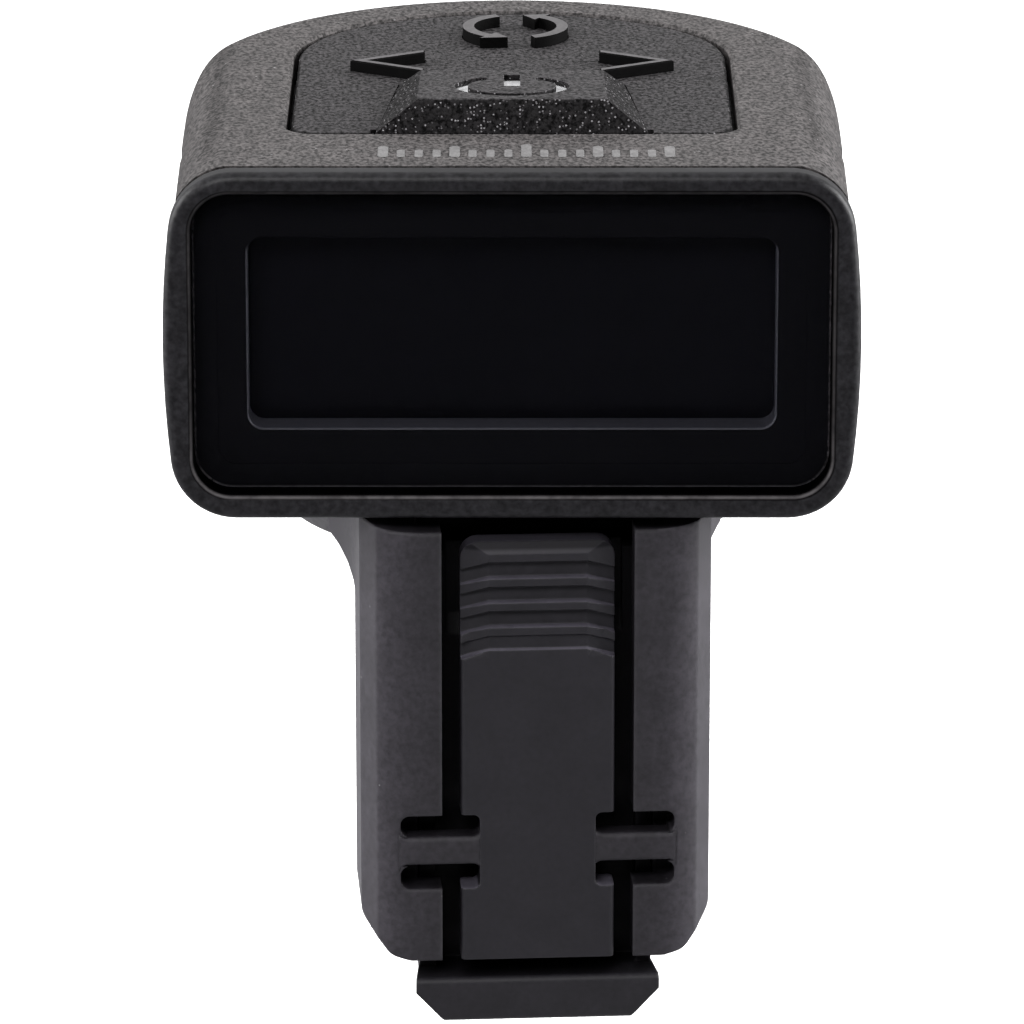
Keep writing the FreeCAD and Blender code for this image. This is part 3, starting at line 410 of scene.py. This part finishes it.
# lighter than the keypad rubber: painted highlight on the icons' top faces
plastic("icon_rubber", (0.062, 0.059, 0.061), rough=0.62, spec=0.28, grain=6000.0,
        grain_amount=0.22, mottle=1700.0, mottle_amount=0.10, relief=0.2,
        side_shade=dict(side_tone=0.03, side_spec=0.08, span=(0.70, 0.95)),
        bevel=0.00003, stretch=HEAD_STRETCH)
plastic("bezel_plastic", (0.0058, 0.0055, 0.0067), rough=0.44, spec=0.17, grain=3600.0,
        grain_amount=0.40, mottle=900.0, mottle_amount=0.28, spec_grain=0.30,
        relief=0.12, depth=0.00001, wear_and_highlight=0.90, wear_and_highlight_colour=(0.10, 0.095, 0.103),
        bevel=0.00016, inward=dict(middle=HEAD_BOTTOM + 0.0077, least=0.04),
        lip=dict(half_width=0.01378, middle=BEZEL_BOTTOM + 0.00784, half_height=0.00672,
                 radius=0.00165, offset=0.00011, width=0.00010, amount=0.60))
plastic("clamp_plastic", (0.0168, 0.0152, 0.0186), rough=0.50, spec=0.22, grain=3600.0,
        grain_amount=0.30, mottle=650.0, relief=0.2, depth=0.000012,
        fleck=dict(CLAMP_FLECK, keep=0.03), wear_and_highlight=0.40, wear_and_highlight_colour=(0.060, 0.056, 0.065),
        bevel=0.00028, recess_shade=dict(distance=0.0035, floor=0.45),
        across=dict(span=(0.0042, 0.0074), tone=(0.86, 1.42)))
plastic("lever_plastic", (0.0106, 0.0098, 0.0124), rough=0.46, spec=0.20, grain=3600.0,
        grain_amount=0.14, mottle=650.0, mottle_amount=0.10, relief=0.12, depth=0.00001,
        wear_and_highlight=0.5, wear_and_highlight_colour=(0.055, 0.052, 0.060), bevel=0.00012, ledge_highlight=5.0,
        recess_shade=dict(distance=0.0011, floor=0.30), cap_shade=dict(z=0.0040, tone=0.45))
plastic("jaw_plastic", (0.0098, 0.0090, 0.0113), rough=0.48, spec=0.20, grain=3600.0,
        grain_amount=0.20, mottle=650.0, mottle_amount=0.14, relief=0.16, depth=0.000012,
        fleck=dict(CLAMP_FLECK, keep=0.02), wear_and_highlight=0.10, wear_and_highlight_colour=(0.060, 0.056, 0.062),
        bevel=0.00016, recess_shade=dict(distance=0.0035, floor=0.15))
plastic("pad_rubber", (0.018, 0.018, 0.019), rough=0.78, spec=0.25, grain=3000.0,
        grain_amount=0.3, mottle=500.0, mottle_amount=0.2, relief=0.5, depth=0.00003, wear_and_highlight=0.3)
plastic("washer_nylon", (0.055, 0.054, 0.052), grain=3000.0, grain_amount=0.1, relief=0.1)
plastic("switch_stem", (0.02, 0.02, 0.02), rough=0.4, grain_amount=0.1)
plastic("connector_plastic", (0.62, 0.58, 0.48), rough=0.45, grain_amount=0.08)
plastic("diffuser_white", (0.78, 0.80, 0.78), rough=0.35, grain_amount=0.04)
plastic("chip_black", (0.018, 0.018, 0.019), rough=0.6, grain=9000.0, grain_amount=0.3,
        relief=0.4)
plastic("chip_ceramic", (0.36, 0.26, 0.16), rough=0.4, grain_amount=0.12)
plastic("piezo_ceramic", (0.62, 0.61, 0.57), grain_amount=0.1)
plastic("wire_red", (0.45, 0.03, 0.025), rough=0.45, grain_amount=0.08)
plastic("flex_film", (0.38, 0.17, 0.03), rough=0.3, grain_amount=0.08, coat=0.4)
plastic("light_guide", (0.50, 0.50, 0.51), rough=0.35, spec=0.5, grain_amount=0.05,
        relief=0.05, bevel=0.00004)
plastic("print_grey", (0.105, 0.102, 0.103), rough=0.55, grain=9000.0, grain_amount=0.3,
        mottle=2500.0, mottle_amount=0.2, relief=0.3, depth=0.00001)

# ---------------------------------------------------------------- metals, board and display
metal("switch_steel", (0.62, 0.62, 0.60), rough=0.32)
metal("screw_steel", (0.45, 0.45, 0.47), rough=0.34, brush=(3, 3, 3))
metal("spring_steel", (0.70, 0.69, 0.64), rough=0.25, brush=(60, 3, 3))


def cell_material():
    """Coin cell: spun steel with a stepped rim and a stamped plus sign."""
    rings_per_metre = 52000.0           # radians of the spun pattern
    rim = (0.00885, 0.00905)            # radii between which the rim steps down
    plus_reach = 0.0019                 # half length and half width of the plus's bars
    plus_half_width = 0.00034
    low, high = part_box("coin_cell")

    tree = Material("cell_steel")
    x, y, _ = tree.xyz(tree.coords())
    x = x - 0.5 * (low.x + high.x)
    y = y - 0.5 * (low.y + high.y)
    side_x = abs(x)
    side_y = abs(y)
    radius = (x * x + y * y) ** 0.5
    swirl = tree.noise(tree.scaled(tree.coords(), (1, 1, 20)), scale=900.0, detail=2.0)
    rings = tree.math("SINE", radius * rings_per_metre)
    step = radius.remap(rim, to=(1.0, 0.0), smooth=True)
    bars = [tree.math("LESS_THAN", along, plus_reach)
            * tree.math("LESS_THAN", aside, plus_half_width)
            for along, aside in ((side_x, side_y), (side_y, side_x))]
    on_top = tree.math("GREATER_THAN", tree.facing_up(), 0.9)
    plus = tree.math("MAXIMUM", *bars) * on_top
    steel = tree.mix(swirl.remap(NOISE, to=(0.0, 1.0)), (0.34, 0.34, 0.345), (0.42, 0.42, 0.42))
    height = rings * 0.03 + step - plus * 0.6
    tree.surface({
        "Base Color": tree.mix(plus * 0.7, steel, (0.10, 0.10, 0.105)),
        "Metallic": 1.0,
        "Roughness": rings.remap(span=(-1.0, 1.0), to=(0.34, 0.42)),
        "Normal": tree.bump(height, strength=0.6, distance=0.00008, normal=tree.bevel(0.00012)),
    })


def board_material():
    """Green board with lighter tracks along cell borders."""
    tree = Material("board")
    border = tree.value("TexVoronoi", "Distance", {"Scale": 420.0, "Vector": tree.coords()},
                        feature="DISTANCE_TO_EDGE")
    track = border.remap(span=(0.05, 0.09), to=(1.0, 0.0))
    tree.surface({
        "Base Color": tree.mix(track * 0.5, (0.012, 0.085, 0.035), (0.05, 0.22, 0.09)),
        "Roughness": 0.32,
        "Normal": tree.bump(track, strength=0.4, distance=0.00003),
    })


def mask_material():
    """Display frame: dead black to the front and below, a little lighter on the rest; the lighter
    walls are painted light and the black faces below are painted shade.
    """
    tree = Material("mask_black")
    coords = tree.node("TexCoord")
    _, normal_y, normal_z = tree.xyz(tree.out(coords, "Normal"))
    # painted light and shade: the colour depends on which way the face looks
    front = (normal_y * -1.0).remap(span=(0.80, 0.96), to=(0.0, 1.0), smooth=True)
    below = normal_z.remap(span=(-0.10, -0.45), to=(0.0, 1.0), smooth=True)
    black = tree.math("MAXIMUM", front, below)
    grain = tree.noise(tree.out(coords, "Object"), scale=5000.0)
    wall = tree.mix(grain.remap(NOISE, to=(0.0, 1.0)), (0.020, 0.020, 0.024),
                    (0.034, 0.034, 0.040))
    tree.surface({
        "Base Color": tree.mix(black, wall, (0.0030, 0.0030, 0.0036)),
        "Roughness": black.remap(span=(0.0, 1.0), to=(0.45, 0.75)),
        "Specular IOR Level": black.remap(span=(0.0, 1.0), to=(0.35, 0.03)),
        "Normal": tree.bump(grain, strength=0.05, distance=0.00001, normal=tree.bevel(0.00004)),
    })


def lcd_material():
    """Dark display glass with faint mottling."""
    tree = Material("lcd_glass")
    cloud = tree.noise(tree.coords(), scale=900.0).remap(NOISE, to=(0.0, 1.0))
    tree.surface({
        "Base Color": tree.mix(cloud, (0.0022, 0.0022, 0.003), (0.0030, 0.0030, 0.004)),
        "Roughness": 0.22,
        "Specular IOR Level": 0.03,
    })


def window_material():
    """Almost clear window with a slight tint and a weak polished reflection."""
    clear_share = 0.96
    tree = Material("window")
    coords = tree.coords()
    clear = tree.value("BsdfTransparent", "BSDF", {"Color": (0.93, 0.93, 0.95)})
    broad = tree.noise(coords, scale=260.0, detail=2.0)
    fine = tree.noise(coords, scale=5000.0, detail=2.0)
    tree.surface({
        "Base Color": (0.0015, 0.0015, 0.002),
        "Roughness": broad.remap(NOISE, to=(0.03, 0.07)),
        "Specular IOR Level": 0.05,
        "Normal": tree.bump(fine, strength=0.01, distance=0.000004, normal=tree.bevel(0.00005)),
    })
    polished = tree.out(tree.shader, "BSDF")
    tree.show(tree.value("MixShader", 0, {0: clear_share, 1: polished, 2: clear}))


cell_material()
metal("brass", (0.78, 0.55, 0.22), rough=0.3)
board_material()
mask_material()
lcd_material()
window_material()

# ---------------------------------------------------------------- finishes of the frame's pieces
# each piece takes the finish of its slot, apart from these
OWN_FINISH = {"release_lever": "lever_plastic", "left_arrow_key": "icon_rubber",
              "right_arrow_key": "icon_rubber", "flip_key": "icon_rubber"}
slot_of = {part["node"]: part["material_slot"] for part in frame["record"]["subparts"]}
for name, piece in frame["nodes"].items():
    finish = MATERIALS[OWN_FINISH.get(name, slot_of[name])]
    if not piece.material_slots:
        piece.data.materials.append(finish)
    for material_slot in piece.material_slots:
        material_slot.material = finish


# ---------------------------------------------------------------- mesh helpers
def make_object(bm, name, material, sharp_angle=None):
    """Turn a bmesh into an object, smooth up to `sharp_angle` degrees if one is given."""
    bmesh.ops.recalc_face_normals(bm, faces=bm.faces)
    mesh = bpy.data.meshes.new(name)
    bm.to_mesh(mesh)
    bm.free()
    made = bpy.data.objects.new(name, mesh)
    bpy.context.scene.collection.objects.link(made)
    mesh.materials.append(MATERIALS[material])
    if sharp_angle is not None:
        for polygon in mesh.polygons:
            polygon.use_smooth = True
        mesh.set_sharp_from_angle(angle=math.radians(sharp_angle))
    return made


def arc(across, along, radius, start, sweep, steps):
    """Points on an arc about (across, along)."""
    angles = [start + sweep * i / steps for i in range(steps + 1)]
    return [(across + radius * math.cos(a), along + radius * math.sin(a)) for a in angles]


def rounded_rectangle(middle, half_size, radius, steps):
    """Outline points, a quarter arc of `steps` at each corner."""
    points = []
    for corner, (side_u, side_v) in enumerate(((1, 1), (-1, 1), (-1, -1), (1, -1))):
        points += arc(middle[0] + side_u * (half_size[0] - radius),
                      middle[1] + side_v * (half_size[1] - radius),
                      radius, math.pi / 2 * corner, math.pi / 2, steps)
    return points


def bridge(bm, first, second):
    """Join two closed rings of vertices with quads."""
    count = len(first)
    for i in range(count):
        j = (i + 1) % count
        bm.faces.new((first[i], first[j], second[j], second[i]))


# ---------------------------------------------------------------- printed scale on the head's top
TICK_MIDDLE_X = 0.62            # mm, in the head's axes
TICK_PITCH = 0.775
TICK_FRONT_Y = -14.95
TICKS_EACH_SIDE = 8
TICK_SINK = 0.00001             # metres below and above the top face
TICK_RISE = 0.000018


def tick_bar(bm, x, y, width, length):
    """A thin slab with round ends, its long side along the head's Y."""
    radius = width / 2
    reach = length / 2 - radius
    outline = (arc(x, y + reach, radius, 0.0, math.pi, 6)
               + arc(x, y - reach, radius, math.pi, math.pi, 6))
    low, high = ([bm.verts.new(head_point(px, py, z)) for px, py in outline]
                 for z in (HEAD_TOP - TICK_SINK, HEAD_TOP + TICK_RISE))
    bm.faces.new(list(reversed(low)))
    bm.faces.new(high)
    bridge(bm, low, high)


def tick_print():
    """Row of ticks: every fourth is wider and longer, the middle one longest."""
    bm = bmesh.new()
    for i in range(-TICKS_EACH_SIDE, TICKS_EACH_SIDE + 1):
        major = i % 4 == 0
        length = 2.15 if i == 0 else (1.85 if major else 1.25)
        tick_bar(bm, TICK_MIDDLE_X + i * TICK_PITCH, TICK_FRONT_Y + length / 2,
                 width=0.46 if major else 0.36, length=length)
    ticks = make_object(bm, "tick_print", "print_grey")
    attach(ticks, "head")


tick_print()

# ---------------------------------------------------------------- printed border behind the window
BORDER_HALF_WIDTH = 13.70       # mm, in the head's axes
BORDER_HALF_HEIGHT = 6.64
BORDER_MIDDLE = 7.71            # above the underside of the head
BORDER_BAND = 0.95
BORDER_RADII = (1.57, 0.80)     # outer and inner corners
BORDER_FACES_Y = (-16.43, -16.38)


def border_print():
    """Flat black ring that hides the gap round the display frame."""
    bm = bmesh.new()
    rings = []
    for y in BORDER_FACES_Y:
        for inset, radius in zip((0.0, BORDER_BAND), BORDER_RADII):
            half_size = (BORDER_HALF_WIDTH - inset, BORDER_HALF_HEIGHT - inset)
            outline = rounded_rectangle((0.0, BORDER_MIDDLE), half_size, radius, steps=8)
            rings.append([bm.verts.new(head_point(x, y, HEAD_BOTTOM + z * MM))
                          for x, z in outline])
    front_outer, front_inner, back_outer, back_inner = rings
    bridge(bm, front_outer, front_inner)
    bridge(bm, back_outer, back_inner)
    bridge(bm, front_outer, back_outer)
    bridge(bm, front_inner, back_inner)
    plastic("border_print", (0.0030, 0.0030, 0.0036), rough=0.75, spec=0.03, grain=5000.0,
            grain_amount=0.15, mottle_amount=0.1, relief=0.03, bevel=0.00001)
    border = make_object(bm, "lens_border_print", "border_print")
    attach(border, "head")


border_print()

# ---------------------------------------------------------------- torsion webs
WEB_SEGMENTS = 40
WEB_OUTER_OVERLAP = 0.00012     # how far the web runs on past its CAD piece at each end
WEB_INNER_OVERLAP = 0.00010
WEB_CORNER = 0.00018            # radius of the section's corners
ROOT_LENGTH = 0.00045           # flare in Z at each root
ROOT_GROWTH = 0.00032


def torsion_web(side, node):
    """Torsion bar along X between clamp and lever, built without a twist; side is -1 for left, 1
    for right.
    """
    low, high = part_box(node)
    outer, inner = (high.x, low.x) if side > 0 else (low.x, high.x)
    outer += side * WEB_OUTER_OVERLAP
    inner -= side * WEB_INNER_OVERLAP
    middle = (0.5 * (low.y + high.y), 0.5 * (low.z + high.z))
    half_y = 0.5 * (high.y - low.y)
    half_z = 0.5 * (high.z - low.z)

    bm = bmesh.new()
    rings = []
    for i in range(WEB_SEGMENTS + 1):
        t = i / WEB_SEGMENTS
        x = outer + (inner - outer) * t
        root_distance = min(t, 1 - t) * abs(inner - outer)
        nearness = max(0.0, 1 - root_distance / ROOT_LENGTH)
        growth = ROOT_GROWTH * (1 - math.sqrt(1 - nearness * nearness))
        section = rounded_rectangle(middle, (half_y, half_z + growth), WEB_CORNER, steps=4)
        rings.append([bm.verts.new((x, y, z)) for y, z in section])
    for first, second in zip(rings[:-1], rings[1:]):
        bridge(bm, first, second)
    bm.faces.new(rings[0])
    bm.faces.new(list(reversed(rings[-1])))
    web = make_object(bm, "twisting_" + node, "clamp_plastic", sharp_angle=50)
    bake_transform(web)
    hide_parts(node)


torsion_web(-1, "torsion_web_left")
torsion_web(1, "torsion_web_right")

# ---------------------------------------------------------------- floor
# just below the end of the jaw's 12 mm travel, so that the open jaw stays in sight
FLOOR_DROP = 0.0122


def studio_floor():
    """Floor that is pale to the camera and darker to all other rays."""
    bpy.ops.mesh.primitive_plane_add(size=6.0, location=(0, 0, CAD_BOUNDS[0][2] - FLOOR_DROP))
    floor = bpy.context.active_object
    floor.name = "studio_floor"
    tree = Material("pale_floor")
    cloud = tree.noise(tree.coords(), scale=40.0, detail=4.0).remap(NOISE, to=(0.0, 1.0))
    tree.surface({
        "Base Color": tree.mix(cloud, (0.86, 0.86, 0.86), (0.90, 0.90, 0.90)),
        "Roughness": 0.9,
        "Specular IOR Level": 0.1,
    })
    pale = tree.out(tree.shader, "BSDF")
    dim = tree.value("BsdfDiffuse", 0, {"Color": (0.34, 0.34, 0.35)})
    seen = tree.value("LightPath", "Is Camera Ray")
    tree.show(tree.value("MixShader", 0, {0: seen, 1: dim, 2: pale}))
    floor.data.materials.append(MATERIALS["pale_floor"])


studio_floor()


# ---------------------------------------------------------------- soft studio light
def studio_world():
    """White surround, darker behind the camera and brighter overhead."""
    world = bpy.data.worlds.new("studio")
    bpy.context.scene.world = world
    world.use_nodes = True
    tree = Nodes(world.node_tree)
    output = tree.node("OutputWorld")
    _, y, z = tree.xyz(tree.value("TexCoord", "Generated"))
    depth = y.remap(span=(-0.80, 0.30), to=(0.07, 1.0), smooth=True)
    height = z.remap(span=(0.0, 0.9), to=(0.75, 1.25), smooth=True)
    inputs = {"Color": (1.0, 1.0, 1.0), "Strength": depth * height}
    tree.feed(output, {0: tree.value("Background", 0, inputs)})


studio_world()

# name, place, size, power in watts; all point at the origin
SOFTBOXES = (
    ("top_softbox", (0.0, 0.02, 0.42), (0.36, 0.30), 0.2),
    ("front_softbox", (-0.15, -0.40, 0.34), (0.26, 0.16), 2.6),
    ("left_softbox", (-0.42, 0.06, 0.14), (0.30, 0.34), 3.6),
    ("right_softbox", (0.42, 0.02, 0.14), (0.30, 0.34), 6.0),
)
for name, place, size, power in SOFTBOXES:
    light = bpy.data.lights.new(name, "AREA")
    light.shape = "RECTANGLE"
    light.size, light.size_y = size
    light.energy = power
    softbox = bpy.data.objects.new(name, light)
    bpy.context.scene.collection.objects.link(softbox)
    softbox.location = place
    softbox.rotation_euler = (-Vector(place)).to_track_quat("-Z", "Y").to_euler()

# ---------------------------------------------------------------- camera
# square to the display and looking down
CAMERA_PITCH = math.radians(17.705)
CAMERA_Y = -316.29              # mm, in the head's axes
CAMERA_RISE = 0.09555           # metres above the underside of the head
SENSOR_WIDTH = 36.0             # mm
FOCAL_LENGTH = 254.00390625     # mm

camera_data = bpy.data.cameras.new("camera")
camera = bpy.data.objects.new("camera", camera_data)
scene = bpy.context.scene
scene.collection.objects.link(camera)
camera_data.sensor_width = SENSOR_WIDTH
camera_data.lens = FOCAL_LENGTH
camera_data.clip_start = 0.01
camera_data.clip_end = 20.0
camera.location = head_point(0.0, CAMERA_Y, HEAD_BOTTOM + CAMERA_RISE)
camera.rotation_euler = (math.pi / 2 - CAMERA_PITCH, 0.0, HEAD_TURN)
scene.camera = camera
scene.view_settings.view_transform = "Standard"
scene.view_settings.look = "None"

bpy.context.view_layer.update()
